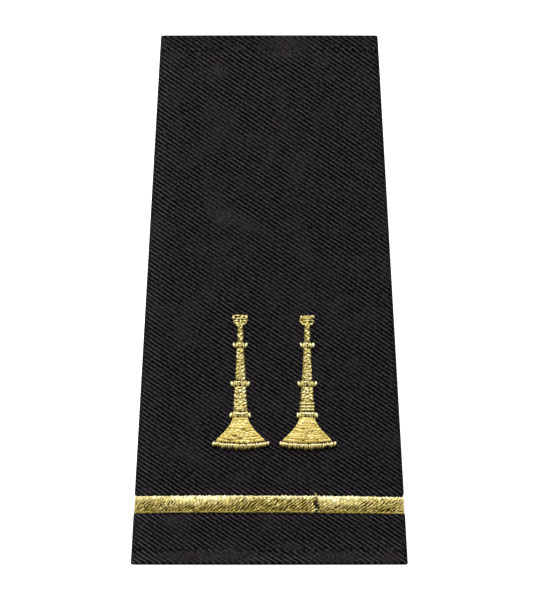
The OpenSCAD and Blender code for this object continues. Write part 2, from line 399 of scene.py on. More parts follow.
def gold():
    """Gold rayon thread of two twisted plies: painted light along its back, and painted shade, olive
    brown, in its grooves and where it turns down between others."""
    n = Nodes("gold_thread")
    thread = n.add("ShaderNodeUVMap")
    thread.uv_map = "thread"
    split = n.add("ShaderNodeSeparateXYZ", Vector=thread.outputs["UV"])
    along, turn = split.outputs["X"], split.outputs["Y"]
    plies = n.math("SUBTRACT", n.times(turn, 2.0), n.math("DIVIDE", along, TWIST))
    ply = n.math("ABSOLUTE", n.math("SINE", n.times(plies, math.pi)))
    filaments = n.plus(n.times(along, 1.6), n.times(turn, 9.0))
    filament = n.math("SINE", n.times(filaments, math.tau))
    tone = n.plus(n.value("tint"), n.remap(n.grain(900.0), 0.3, 0.7, -0.15, 0.15))
    base = n.mix(tone, GOLD_DARK, GOLD_PALE)
    base = n.mix(n.remap(tone, 1.0, 1.5), base, GOLD_PAINTED_HIGHLIGHT)
    laid = n.value("laid")
    base = n.mix(laid, base, GOLD_WARMER, "MULTIPLY")
    # Painted shade in the grooves between the plies, less where the threads are laid flat
    groove_shade = n.times(n.remap(ply, 0.0, 0.6, 0.55, 0.0), n.remap(laid, 0.0, 1.0, 1.0, 0.2))
    shade = n.times(n.remap(n.value("crest"), 0.2, 0.85), n.rest(groove_shade))
    height = n.times(n.plus(ply, n.times(filament, 0.15)), n.remap(laid, 0.0, 1.0, 1.0, 0.25))
    n.fill(
        n.shader,
        Base_Color=n.mix(shade, GOLD_PAINTED_SHADE, base),
        Metallic=0.15,
        Roughness=0.34,
        Specular_IOR_Level=n.times(0.6, shade),
        Specular_Tint=(1.0, 0.95, 0.75, 1),
        Normal=n.bump(height, strength=0.8, distance=0.07),
    )
    return n.material


def black_thread():
    n = Nodes("black_thread")
    n.fill(
        n.shader,
        Base_Color=n.mix(n.grain(2500.0), BLACK_DEEP, BLACK_PALE),
        Roughness=0.8,
        Specular_IOR_Level=0.1,
    )
    return n.material


# The cloth tube

# Vertical distance between wales, how steeply they fall to the right, and how deep they are cut
WALE_STEP = 0.913
WALE_ANGLE = math.radians(32.9)
WALE_FALL = math.tan(WALE_ANGLE)
WALE_DEPTH = 0.13
# Share of that depth that is left where they are pressed flat
FLAT_SHARE = 0.06
# Height of a wale at its samples, from the valley
WALE_SHAPE = np.array([0, 0.4, 0.95, 1, 0.45])
SAMPLES = len(WALE_SHAPE)
# Steps round half the tube over its face, fold, lifted back and strip
COLUMN_STEPS = (26, 8, 11, 8)
FLAT_END = END_Y - HEM_TURN
# Spots where the wales are pressed flat: middle, half width, half height and strength
PRESSED = np.array([
    [-16.5, -52.3, 5.5, 1.1, 1.5],
    [-6.8, -51.9, 3.8, 1.4, 1.5],
    [-19.6, -45.2, 2.1, 1.2, 1.3],
    [4.0, -50.3, 2.6, 0.7, 1.1],
    [14.3, -52.4, 4.2, 1.2, 1.5],
    [25.0, -53.0, 2.0, 0.9, 0.9],
    [-23.5, 52.8, 1.2, 1.4, 1.2],
    [-20.0, 49.5, 1.8, 1.2, 0.6],
    [3.4, 51.6, 4.0, 2.0, 1.0],
    [-10.2, 46.8, 1.3, 1.3, 0.9],
    [-9.1, 17.0, 1.8, 1.3, 1.2],
    [-4.2, 14.8, 1.6, 1.2, 0.7],
])
# Painted light and shade along the board: lighter on the turned hems, with a darker and then a lighter line
# at the narrow one
PAINTED_LIGHT_ROWS = np.array([
    [-53.9, 1.1], [-53.5, 1.5], [-53.0, 1.44], [-52.4, 1.26], [-51.6, 1.11], [-49.1, 1.13], [-48.5, 1.03],
    [-40, 1.03], [-36, 1], [50.4, 1], [50.6, 0.78], [50.8, 0.82], [51.0, 1.13], [51.25, 1.15],
    [51.5, 0.95], [54, 0.95],
])
# Painted light from the left to the right, at places on the outline: painted shade on the side folds, and
# painted light at the left edge of the face
PAINTED_LIGHT_ACROSS = np.array([
    [-2.3, 1], [-2, 0.8], [-1.2, 0.9], [-0.98, 1.15], [-0.9, 1.03], [-0.8, 1], [0.98, 1], [1.2, 0.7],
    [2, 0.8], [2.3, 1],
])
# Painted shade beside the stripe, and painted light a little further out, at distances from its edge
PAINTED_LIGHT_BESIDE = np.array([[0.1, 0.7], [0.3, 1.2], [0.9, 1.15], [1.4, 1]])
# Faint creases: one end, the other end, half width, and how deep or, below 0, how high
CREASES = np.array([
    [-13.1, 18.5, 4.0, 11.1, 1.3, -0.09],
    [-6.6, 14.4, -19.7, -10.1, 1.5, 0.1],
    [-13.1, 30.7, -6.6, 39.7, 1.6, 0.09],
    [4.8, 39.7, 5.6, 10.0, 1.3, 0.06],
    [-26.0, -28.5, -9.0, -35.6, 1.2, -0.08],
    [16.0, 4.0, 22.0, 12.0, 1.4, -0.07],
])
# How deep the cloth is drawn in by the hems' stitches, beside the stripe, and under the stripe where
# that rounds the folds, and how deep its uneven waves are
HEM_DENT = 0.3
STRIPE_DENT = 0.08
STRIPE_BED = 0.3
WAVE_DEPTH = 0.03
# Lengths of those waves
RIPPLES = (40, 27, 19, 12)
# How far the wales wander from their line, and how far the stitches draw those of the hems out of it
WANDER = 0.09
HEM_SHIFT = 0.16


def turn_profile():
    """Round a hem's pressed turn: the way along the cloth, inset from the end, depth, way out."""
    angle = np.linspace(0, np.pi, 41)
    inset = HEM_TURN * (1 - np.sin(angle) ** TURN_ROUND)
    depth = HEM_T / 2 * (1 - np.sign(np.cos(angle)) * np.abs(np.cos(angle)) ** TURN_ROUND)
    inset[[0, -1]] = HEM_TURN
    way = np.concatenate([[0], np.cumsum(np.hypot(np.diff(inset), np.diff(depth)))])
    steps = np.stack([np.gradient(inset), np.gradient(depth)])
    steps /= np.maximum(np.linalg.norm(steps, axis=0), 1e-9)
    return way, inset, depth, steps[1], steps[0]


TURN_WAY, *TURN_ROWS = turn_profile()
TURN_L = TURN_WAY[-1]
TURN_END = FLAT_END + TURN_L
CLOTH_END = TURN_END + HEM_D - HEM_TURN


def lengthwise(along):
    """Where a distance along the cloth lies, round the turned hems: y, depth, and the way out."""
    past = np.abs(along) - FLAT_END
    inset, depth, out_y, out_depth = [np.interp(past, TURN_WAY, row) for row in TURN_ROWS]
    end = np.sign(along)
    flat = past < 0
    flap = np.maximum(past - TURN_L, 0)
    y = np.where(flat, along, end * (END_Y - inset - flap))
    out_depth = np.where(flat, -1, np.where(flap > 0, 1, out_depth))
    return y, depth, np.where(flat | (flap > 0), 0, end * out_y), out_depth


def ripple(around, along, seed):
    """Smooth uneven waves from -1 to 1."""
    rng = np.random.default_rng(seed)
    total = 0
    for length in RIPPLES:
        heading, shift = rng.uniform(0, math.tau, 2)
        way = around * math.cos(heading) + along * math.sin(heading)
        total = total + np.sin(math.tau * way / length + shift)
    return total / len(RIPPLES)


def creased(around, y):
    """How far the creases sink the cloth."""
    total = 0
    for x0, y0, x1, y1, wide, deep in CREASES:
        length = math.hypot(x1 - x0, y1 - y0)
        way_x, way_y = (x1 - x0) / length, (y1 - y0) / length
        run = (around - x0) * way_x + (y - y0) * way_y
        off = (y - y0) * way_x - (around - x0) * way_y + 0.8 * np.sin(run / 2.3)
        faded = np.clip(np.minimum(run, length - run) / 3, 0, 1)
        total = total + deep * faded * fade(off, wide)
    return total


def sunk(place, around, along, y):
    """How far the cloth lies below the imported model's face."""
    hem = np.abs(np.abs(along) - (END_Y - STITCH_IN))
    pull = 0.55 + 0.45 * np.cos(math.tau * around / STITCH_L)
    dents = HEM_DENT * pull * fade(hem, 0.55)
    dents = dents + STRIPE_DENT * fade(np.abs(y - STRIPE_MIDDLE) - STRIPE_W / 2 - 0.2, 0.3)
    dents = dents + WAVE_DEPTH * (1 - ripple(around, along, 5))
    dents = dents + np.where(np.abs(place) < 1, creased(around, y), 0)
    bed = STRIPE_BED * fade(y - STRIPE_MIDDLE, STRIPE_W / 2 + 0.05, 8)
    seam_distance = REST_W / 2 * (SEAM - np.abs(place))
    seam = SEAM_D * np.clip(1 - seam_distance / (SEAM_W / 2), 0, 1) ** 1.5
    total = dents * off_folds(place) + bed * (1 - off_folds(place)) + seam
    return np.where(np.abs(along) < FLAT_END, total, 0)


def slip(place, along):
    """How many wales the pattern lags behind where it is pressed flat: past the ends and round the
    side folds, so that from above the wales run on straight to the edge."""
    past = np.clip(np.abs(along) - FLAT_END, 0, (TURN_END - FLAT_END) / 2)
    share = np.clip(np.abs(place) - 1, 0, 1)
    half = np.pi * np.minimum(share, 1 - share)
    lag = (half - np.sin(half)) / (np.pi - 2)
    return np.sign(along) * past / WALE_STEP + np.sign(place) * np.where(share < 0.5, lag, 1 - lag)


def crispness(around, y):
    """Less than 1 where the wales are pressed flat."""
    flat = 0
    for middle_x, middle_y, wide, high, strength in PRESSED:
        flat = flat + strength * np.exp(-(((around - middle_x) / wide) ** 2) - ((y - middle_y) / high) ** 2)
    return 1 - np.minimum(flat + 3 * np.abs(creased(around, y)), 0.92)


def column_places():
    """Places of the columns of points, from the seam over the left, the face and the right. They lie
    closer together beside the seam."""
    half = [i + step / steps for i, steps in enumerate(COLUMN_STEPS) for step in range(steps)]
    near_seam = [SEAM - distance / (REST_W / 2) for distance in (0.6, 0.45, 0.3, 0.15, 0)]
    half = np.array([place for place in half if place < near_seam[0] - 0.02] + near_seam)
    return np.concatenate([-half[:0:-1], half])


def outer_column(place):
    """Points along one column of the outer skin, at the samples of the wales that it crosses."""
    near, far = around_at(place, np.array([-END_Y, END_Y]))
    slope, middle = (far - near) / SLIDE_L, (near + far) / 2
    # A wale is where along + WALE_FALL * around stays the same, and a key counts its samples.
    steepness = 1 + WALE_FALL * slope
    low, high = [
        (end * steepness + WALE_FALL * middle) * SAMPLES / WALE_STEP for end in (-CLOTH_END, CLOTH_END)
    ]
    key = np.concatenate([[low], np.arange(math.floor(low) + 1, math.ceil(high)), [high]])
    along = (key * WALE_STEP / SAMPLES - WALE_FALL * middle) / steepness
    height = np.interp(key % SAMPLES, np.arange(SAMPLES + 1), [*WALE_SHAPE, WALE_SHAPE[0]])
    wander = np.where(np.abs(along) < FLAT_END - 2, WANDER * ripple(middle, along * 4, 3), 0)
    # The stitching draws the wales of each hem out of line with the others.
    beyond = np.interp(np.abs(along) - END_Y + STITCH_IN, [-0.4, 0.4, 1.9, 2.5], [0, 1, 1, 0])
    wander = wander + HEM_SHIFT * np.sign(along) * beyond
    y, depth, out_y, out_depth = lengthwise(along + wander)
    around = around_at(place, y)
    turned = np.clip((np.abs(along) - FLAT_END) / 0.3 + 1, 0, 1)
    crisp = crispness(around, y)
    straight = np.minimum(off_folds(place), 1 - turned) * crisp
    depth_share = FLAT_SHARE + (1 - FLAT_SHARE) * straight
    lift = -WALE_DEPTH * depth_share * (1 - height) - sunk(place, around, along, y)
    x, z = outline(place, y + lift * out_y, depth + lift * out_depth)
    # Painted shade: the turn of the narrow hem is darker, and so is a line on each side of the stripe.
    light = 1 - 0.35 * fade(along - FLAT_END - 0.3, 0.45)
    light = light * read(PAINTED_LIGHT_ROWS, along) * read(PAINTED_LIGHT_ACROSS, place)
    beside = read(PAINTED_LIGHT_BESIDE, np.abs(np.abs(y - STRIPE_MIDDLE) - STRIPE_W / 2))
    light = light * np.where(np.abs(along) < FLAT_END, beside, 1)
    hem_row = fade(np.abs(along) - END_Y + STITCH_IN, 0.32)
    across_wales = key / SAMPLES - slip(place, along)
    rows = [x, y + lift * out_y, z, around, along, light, across_wales, crisp, hem_row]
    return key, along, np.stack(rows, axis=1)


def inner_profile():
    """A column of the inner skin from raw edge to raw edge: along, y and depth."""
    middle = np.linspace(-1, 1, 30) * (END_Y - HEM_T / 2)
    hem = [
        (CLOTH_END, END_Y - HEM_D, CLOTH_T + HEM_SLIT),
        (TURN_END, END_Y - HEM_T / 2, CLOTH_T + HEM_SLIT),
        (FLAT_END + 0.02, END_Y - HEM_T / 2 + 0.02, CLOTH_T + HEM_SLIT / 2),
    ]
    start = [(-along, -y, depth) for along, y, depth in hem]
    return np.array(start + [(y, y, CLOTH_T) for y in middle] + hem[::-1]).T


def inner_column(place):
    """Points along one column of the plain inner skin, with the same values as on the outer one."""
    along, y, depth = inner_profile()
    x, z = outline(place, y, depth)
    blank = 0 * x
    return np.stack([x, y, z, around_at(place, y), along, blank + 0.5, blank, blank, blank], axis=1)


def zipped(first, first_keys, second, second_keys):
    """Faces between two rows of points, joined in the order of their keys."""
    i = j = 0
    quads, triangles = [], []
    while i < len(first) - 1 or j < len(second) - 1:
        next_i = first_keys[i + 1] if i < len(first) - 1 else math.inf
        next_j = second_keys[j + 1] if j < len(second) - 1 else math.inf
        if abs(next_i - next_j) < 1e-6:
            quads.append((first[i], second[j], second[j + 1], first[i + 1]))
            i += 1
            j += 1
        elif next_i < next_j:
            triangles.append((first[i], second[j], first[i + 1]))
            i += 1
        else:
            triangles.append((first[i], second[j], second[j + 1]))
            j += 1
    return quads, triangles


def cloth(material):
    """The twill tube as one closed mesh: wales on its outer skin, round both hems to the raw edge,
    and a plain inner skin. The two edges of the cloth meet at the seam down the back."""
    keys, alongs, outer_rows = zip(*[outer_column(place) for place in column_places()])
    inner_rows = [inner_column(place) for place in column_places()]
    lengths = [len(rows) for rows in (*outer_rows, *inner_rows)]
    numbers = np.split(np.arange(sum(lengths)), np.cumsum(lengths)[:-1])
    outer, inner = numbers[:len(outer_rows)], numbers[len(outer_rows):]
    quads, triangles = [], []
    for k in range(len(outer) - 1):
        strip_quads, strip_triangles = zipped(outer[k], keys[k], outer[k + 1], keys[k + 1])
        quads += strip_quads
        triangles += strip_triangles
        a, b = inner[k], inner[k + 1]
        quads += list(zip(a[:-1], a[1:], b[1:], b[:-1]))
        # The raw edge of each hem joins the two skins.
        quads.append((outer[k][0], a[0], b[0], outer[k + 1][0]))
        quads.append((outer[k + 1][-1], b[-1], a[-1], outer[k][-1]))
    # The two edges of the cloth, on each side of the seam
    for k, turned in ((0, False), (-1, True)):
        strips = zipped(inner[k], inner_profile()[0], outer[k], alongs[k])
        for group, strip in zip((quads, triangles), strips):
            group += [face[::-1] if turned else face for face in strip]
    data = np.concatenate([*outer_rows, *inner_rows])
    x, y, z, around, along, light, across_wales, crisp, hem_row = data.T
    faces = [np.array(quads), np.array(triangles)]
    corners = np.concatenate([group.ravel() for group in faces])
    is_outer = np.arange(len(data)) < inner[0][0]
    # The outer skin has the upper part of the baking map, and the inner one a strip below it.
    map_x = around / (4 * END_Y) * 1.8 + 0.5
    map_y = np.where(is_outer, 0.57 + 0.42 * along / CLOTH_END, 0.01 + 0.06 * (1 + y / END_Y))
    values = {
        "wale_light": light,
        "across_wales": across_wales,
        "on_wale": around * math.cos(WALE_ANGLE) - along * math.sin(WALE_ANGLE),
        "crisp": crisp,
        "hem_row": hem_row,
    }
    parts = Parts()
    parts.add(data[:, :3], faces, {"OFBake": np.stack([map_x, map_y], axis=1)[corners]}, values)
    return parts.mesh("twill_cloth", material)


# Threads

SIDES = 8
ANGLES = math.tau * np.arange(SIDES) / SIDES
# Height of a thread as a share of its width, and of one that is laid close and flat
FLATNESS = 0.75
LAID_FLATNESS = 0.36
# How far its plies swell it
PLY_DEPTH = 0.08
# Width of a thread's cut ends, as a share of its width
END_SHARE = 0.6
# Depth below the cloth's face at which a stitch ends
BURIED = 0.28
# Points along a stitch: a short one, one across the stripe, and one along its edge
STITCH_POINTS = 9
SATIN_POINTS = 33
EDGE_POINTS = 7
# Free edge round each square of the baking map
MAP_MARGIN = 0.05


def unit(vectors):
    """Vectors of length 1."""
    return vectors / np.maximum(np.linalg.norm(vectors, axis=-1, keepdims=True), 1e-9)


def steps_along(count):
    """Shares of a stitch, closer together at its two ends."""
    return (1 - np.cos(np.pi * np.arange(count) / (count - 1))) / 2


def around_x(x, y):
    """Distance round the cloth to x on the face."""
    return face_r(y) * np.arcsin(x / face_r(y))


def column(value, count):
    """A value for each of count stitches, or the same one for all."""
    return np.broadcast_to(value, count)[:, None]


def ramp(first, last, count, share):
    """Values along each of count stitches, which may change from its first to its last point."""
    first = column(first, count)
    last = first if last is None else column(last, count)
    return first + (last - first) * share


class Embroidery(Parts):
    """Threads and padding of one piece, each with its own square on the baking map."""

    def __init__(self, laid=0.0):
        """laid is 1 where the threads lie close and flat, so that they look warmer and smoother."""
        super().__init__()
        self.laid = laid
        self.flatness = FLATNESS + (LAID_FLATNESS - FLATNESS) * laid
        self.squares = 0
        self.spots = []

    def map_onto(self, count, across, up):
        """Gives each of count shapes a square, and their corners a share of it across and up."""
        square = (self.squares + np.arange(count)).reshape([count] + [1] * (across.ndim - 1))
        self.spots.append(np.stack(np.broadcast_arrays(square, across, up), axis=-1).reshape(-1, 3))

    def threads(self, around, y, lift, width, tint, shade=1.0):
        """Adds a thread through each row of points. width, tint and shade may differ at each point."""
        around, y, lift = np.broadcast_arrays(around, y, lift)
        count, steps = around.shape
        # Directions along each thread, across it and out of the cloth
        centre = on_cloth(around, y, lift)
        up = unit(on_cloth(around, y, lift + 0.05) - centre)
        way = unit(np.gradient(centre, axis=1))
        side = unit(np.cross(way, up))
        up = np.cross(side, way)
        # Rings of points round it, which its plies swell in turn
        gaps = np.linalg.norm(np.diff(centre, axis=1), axis=2)
        run = np.concatenate([np.zeros((count, 1)), np.cumsum(gaps, axis=1)], axis=1)
        ply = 1 + PLY_DEPTH * (1 - self.laid) * np.cos(2 * ANGLES - (math.tau * run / TWIST)[..., None])
        radius = np.broadcast_to(width, (count, steps))[..., None] / 2 * ply
        radius[:, [0, -1]] *= END_SHARE
        ring = (
            centre[:, :, None]
            + side[:, :, None] * (radius * np.cos(ANGLES))[..., None]
            + up[:, :, None] * (radius * self.flatness * np.sin(ANGLES))[..., None]
        )
        # Faces between the rings, and a cap on each end
        number = np.arange(count * steps * SIDES).reshape(count, steps, SIDES)
        here, beside = number, np.roll(number, -1, axis=2)
        quads = np.stack([here[:, :-1], beside[:, :-1], beside[:, 1:], here[:, 1:]], axis=-1)
        caps = np.concatenate([number[:, 0, ::-1], number[:, -1]])
        # Each corner's place on the baking map, and the thread's own map: along it and round it
        far = (run / run[:, -1:])[:, :, None] + np.zeros(SIDES)
        corner_far = np.stack([far[:, :-1], far[:, :-1], far[:, 1:], far[:, 1:]], axis=-1)
        corner_turn = (np.arange(SIDES)[:, None] + np.array([0, 1, 1, 0])) / SIDES + 0 * corner_far
        at_cap = np.zeros((count, SIDES))
        for shares in ((corner_far, corner_turn), (at_cap, at_cap), (at_cap, at_cap)):
            self.map_onto(count, *shares)
        self.squares += count
        length = run[:, -1][:, None, None, None]
        thread = np.stack([corner_far * length, corner_turn], axis=-1).reshape(-1, 2)
        thread = np.concatenate([thread, np.zeros((2 * count * SIDES, 2))])
        # Painted light round each thread: lightest along its top, falling to painted shade down its sides,
        # times the shade it is given
        crest = (0.5 + 0.5 * np.sin(ANGLES)) * np.broadcast_to(shade, (count, steps))[..., None]
        tints = np.repeat(np.broadcast_to(tint, (count, steps)), SIDES)
        self.add(ring.reshape(-1, 3), [quads.reshape(-1, 4), caps], {"thread": thread},
                 {"tint": tints, "crest": crest.ravel(), "laid": self.laid})

    def sew(
        self, start, end, rise, width, tint, end_tint=None, shade=1.0, end_shade=None,
        fullness=0.45, bow=0.0,
    ):
        """Adds stitches from start to end, rows of [x, y], that come up out of the cloth, arch to
        their rise and go down again. Tint and shade may change along them, and bow bends them."""
        start, end = np.asarray(start, float), np.asarray(end, float)
        count = len(start)
        share = steps_along(STITCH_POINTS)
        way = end - start
        across = np.stack([-way[:, 1], way[:, 0]], axis=1) / np.linalg.norm(way, axis=1, keepdims=True)
        bend = np.sin(np.pi * share)[None, :, None] * column(bow, count)[:, None]
        spot = start[:, None] + way[:, None] * share[None, :, None] + across[:, None] * bend
        x, y = spot[..., 0], spot[..., 1]
        lift = -BURIED + (column(rise, count) + BURIED) * arch(share, fullness)
        self.threads(around_x(x, y), y, lift, column(width, count), ramp(tint, end_tint, count, share),
                     ramp(shade, end_shade, count, share))

    def padding(self, around, y, lift, crest):
        """Adds the padding under a field of stitches: a grid of points, closed underneath."""
        around, y, lift = np.broadcast_arrays(around, y, lift)
        rows, columns = around.shape
        number = np.arange(rows * columns).reshape(rows, columns)
        quads = np.stack([number[:-1, :-1], number[:-1, 1:], number[1:, 1:], number[1:, :-1]], axis=-1)
        edge = np.concatenate([number[0], number[1:, -1], number[-1, -2::-1], number[-2:0:-1, 0]])
        across, up = np.meshgrid(np.linspace(0, 1, columns), np.linspace(0, 1, rows))
        corners = np.concatenate([quads.ravel(), edge[::-1]])
        self.map_onto(1, across.ravel()[None, corners], up.ravel()[None, corners])
        self.squares += 1
        # The padding is given little painted light, so that it shows in painted shade between the stitches
        self.add(on_cloth(around, y, lift).reshape(-1, 3), [quads.reshape(-1, 4), edge[None, ::-1]],
                 {"thread": np.zeros((len(corners), 2))}, {"tint": 0.2, "crest": crest, "laid": self.laid})

    def mesh(self, name, material):
        """The finished piece, with its squares side by side on the baking map."""
        side = math.ceil(math.sqrt(self.squares))
        square, across, up = np.concatenate(self.spots).T
        inside = 1 - 2 * MAP_MARGIN
        places = [
            square % side + MAP_MARGIN + inside * across,
            square // side + MAP_MARGIN + inside * up,
        ]
        self.maps["OFBake"] = [np.stack(places, axis=1) / side]
        return super().mesh(name, material)


# The stripe

STRIPE_W = 3.65
long_low, long_high = node_box("stripe_long")
short_low = node_box("stripe_short")[0]
STRIPE_MIDDLE = (long_low[1] + long_high[1]) / 2
STRIPE_TOP, STRIPE_FOOT = STRIPE_MIDDLE + STRIPE_W / 2, STRIPE_MIDDLE - STRIPE_W / 2
STRIPE_RISE = 0.46
# How far it reaches past each fold, and how deep its stitches lie where it bends round them
STRIPE_WRAP = 3.0
FLUSH_SATIN = -0.24
FLUSH_LOOSE = -0.25
FLUSH_EDGE = -0.2
FLUSH_PADDING = -0.3
# Distance between its stitches, as a share of their slant
STITCH_SHARE = 0.205
# Where the stitches lie closer and paler, with more painted light over their upper half: middle and half
# width
CLOSE_ZONES = ((-13.9, 6.0), (14.2, 4.5))
# Where they form level rows over one another: middle and half width
LAYERED = (1.8, 8.0)
# Loose short stitches at places round the cloth: how many to a millimetre, and the share that fall
LOOSE = np.array([
    [-29, 3.0, 0.5], [-22, 2.4, 0.35], [-20, 1.4, 0.15], [-6, 1.2, 0.2], [0, 1.8, 0.35],
    [9, 1.4, 0.2], [12, 2.0, 0.4], [16, 2.4, 0.7], [29, 2.6, 0.7],
])
# The most of them to a millimetre that are tried
LOOSE_TRIED = 6
# How far the stripe strays from its line, at places round the cloth
STRAY = np.array([
    [-28.5, -0.08], [-14, 0.05], [0, 0.06], [9.5, 0.04], [9.7, -0.03], [14, -0.05], [27, -0.24]
])
# Slant of its stitches in millimetres, from edge to edge, at places round the cloth
SLANTS = np.array([
    [-29, 3.5], [-13, 3.6], [-2, 4.0], [6, 4.1], [9.5, 3.8], [14, 3.8], [24, 4.2], [29, 4.0]
])
# Bends that neighbouring stitches share: size, waves along a stitch, and waves' length round the cloth
BENDS = ((0.16, 1.1, 7.3), (0.07, 2.9, 3.1))
# Height of the rows that the stitches form over one another
ROW_STEP = 0.82
# Along a stitch from the foot to the top: share, width, tint and shade. Tint and shade paint it
# darker lower down with painted shade, with a dip above the middle, and pale at the top with painted
# highlights
SATIN = np.array([
    [0, 0.52, 0.3, 0.84],
    [0.1, 0.45, 0.15, 0.84],
    [0.22, 0.36, 0.1, 0.86],
    [0.42, 0.35, 0.3, 0.93],
    [0.54, 0.36, 0.45, 0.93],
    [0.66, 0.4, 0.3, 0.86],
    [0.76, 0.48, 0.5, 0.92],
    [0.85, 0.58, 1.0, 1.1],
    [0.93, 0.58, 1.4, 1.28],
    [1, 0.44, 1.4, 1.3],
])


def closeness(around):
    """1 in the middle of the zones where the stitches lie close, and 0 far from them."""
    return sum(fade(around - middle, wide, 4) for middle, wide in CLOSE_ZONES)


def satin_look(share, around):
    """Tint and shade at a share of the stripe's width, and how close its stitches are there, which adds
    painted light.
    """
    high_up = closeness(around) * np.interp(share, [0.3, 0.55], [0, 1])
    shade = read(SATIN, share, 3)
    return read(SATIN, share, 2) + 0.5 * high_up, shade + (1.08 - shade) * 0.8 * high_up, high_up


def dome(share):
    """Height of the stripe over its width: steeper towards the narrow end of the board."""
    return 0.35 + 0.65 * np.sin(np.pi * np.clip(share, 0, 1) ** 1.5)


def flush(lift, around, y, flat):
    """A lift that falls to flat where the stripe bends round the side folds."""
    share = off_folds(np.minimum(np.abs(place_at(around, y)), 1.5), 0.93)
    return flat + (lift - flat) * share


def on_stripe(share, around):
    """y at a share of the stripe's width, from its foot."""
    return STRIPE_FOOT + share * STRIPE_W + read(STRAY, around)


def satin(gold, first, last, rng, seed):
    """The stripe's slanted stitches, from edge to edge and from first to last round the cloth."""
    starts = [first - 5]
    while starts[-1] < last:
        starts.append(starts[-1] + STITCH_SHARE * rng.uniform(0.88, 1.12) * read(SLANTS, starts[-1]))
    starts = np.array(starts)
    slant = read(SLANTS, starts) * rng.uniform(0.97, 1.03, len(starts))
    # A stitch is cut short where it would pass first or last.
    enter = np.clip((first + 0.25 - starts) / slant, 0, 1)
    leave = np.clip((last - 0.25 - starts) / slant, 0, 1)
    kept = leave - enter > 0.1
    starts, slant, enter, leave = [row[kept][:, None] for row in (starts, slant, enter, leave)]
    count = len(starts)
    # t is a share of what is left of a stitch, and share one of the stripe's width.
    t = steps_along(SATIN_POINTS)
    share = enter + (leave - enter) * t
    phase = rng.uniform(0, 1, (3, count, 1))
    bend = sum(size * wave(turns * share + starts / apart) for size, turns, apart in BENDS)
    around = starts + slant * share + bend + 0.09 * wave(1.7 * share + phase[0])
    low = 0.05 + rng.uniform(-0.01, 0.01, (count, 1))
    high = 0.94 + rng.uniform(-0.015, 0.015, (count, 1))
    y = on_stripe(low + (high - low) * share, around)
    rise = STRIPE_RISE + 0.05 * ripple(starts, 0 * starts, seed + 1) + rng.uniform(-0.05, 0.05, (count, 1))
    lift = -BURIED + (rise * dome(share) + BURIED) * arch(t, 0.35)
    tint, shade, high_up = satin_look(share, around)
    fuller = closeness(around) * np.interp(share, [0.3, 0.55, 0.85, 1], [0, 1, 0.8, 0])
    width = read(SATIN, share) * (1 + 0.5 * fuller)
    width = width * rng.uniform(0.92, 1.08, (count, 1)) * (1 + 0.3 * wave(2.3 * share + 3 * phase[0]))
    tint = tint + rng.uniform(-0.2, 0.25, (count, 1))
    tint = tint + 0.25 * (1 - 0.6 * high_up) * wave(2.3 * share + phase[1])
    # Painted shade darkens rows across the layered stitches, and breaks along the others.
    layered = fade(around - LAYERED[0], LAYERED[1], 6)
    rows = wave(share * STRIPE_W / ROW_STEP - 0.22 + 0.2 * phase[2]) * (share < 0.62)
    breaks = wave(2.1 * share + starts / 1.45 + 0.6 * phase[2])
    shade = shade * (1 + (1 - 0.8 * high_up) * (0.3 * layered * rows + 0.2 * (1 - layered) * breaks))
    # More painted shade narrows the pale band near the top of the layered stitches.
    shade = shade * (1 - 0.27 * layered * np.interp(share, [0.6, 0.72, 0.84, 0.92], [0, 1, 1, 0]))
    gold.threads(around, y, flush(lift, around, y, FLUSH_SATIN), width, tint, shade)


def loose(gold, first, last, rng):
    """Short stitches that lie over the satin ones: some along them, and some that fall across."""
    tried = rng.uniform(first + 0.4, last - 0.4, int(LOOSE_TRIED * (last - first)))
    middle = tried[rng.uniform(0, LOOSE_TRIED, len(tried)) < read(LOOSE, tried)]
    count = len(middle)
    height = rng.uniform(0.1, 0.86, count)
    falling = rng.uniform(size=count) < read(LOOSE, middle, 2)
    heading = np.arctan2(STRIPE_W, read(SLANTS, middle)) + rng.uniform(-0.18, 0.18, count)
    heading = np.where(falling, -heading, heading)
    half = rng.uniform(0.35, 0.65, count)
    t = steps_along(STITCH_POINTS)
    run = (2 * t - 1) * half[:, None]
    around = middle[:, None] + run * np.cos(heading)[:, None]
    share = np.clip(height[:, None] + run * np.sin(heading)[:, None] / STRIPE_W, 0.05, 0.93)
    lift = STRIPE_RISE * dome(share) - 0.2 + 0.3 * arch(t, 0.5)
    y = on_stripe(share, around)
    tint, shade, _ = satin_look(share, around)
    tint = tint + rng.uniform(-0.1, 0.35, (count, 1)) - np.where(falling, 0.25, 0)[:, None]
    width = rng.uniform(0.34, 0.42, (count, 1)) + np.where(falling, 0.06, 0)[:, None]
    gold.threads(around, y, flush(lift, around, y, FLUSH_LOOSE), width, tint, shade)


def edge_run(gold, first, last, rng, share, top_lift, width, tint, shade):
    """Short stitches that run along one edge of the stripe."""
    cuts = np.arange(first + 0.1, last - 0.3, 0.9)[:, None]
    t = steps_along(EDGE_POINTS)
    around = cuts + np.minimum(0.95, last - 0.1 - cuts) * t
    y = on_stripe(share + rng.uniform(-0.012, 0.012, (len(cuts), 1)), around)
    lift = top_lift - 0.2 + 0.2 * arch(t, 0.6)
    tint = tint + rng.uniform(-0.25, 0.25, cuts.shape)
    gold.threads(around, y, flush(lift, around, y, FLUSH_EDGE), width, tint, shade)


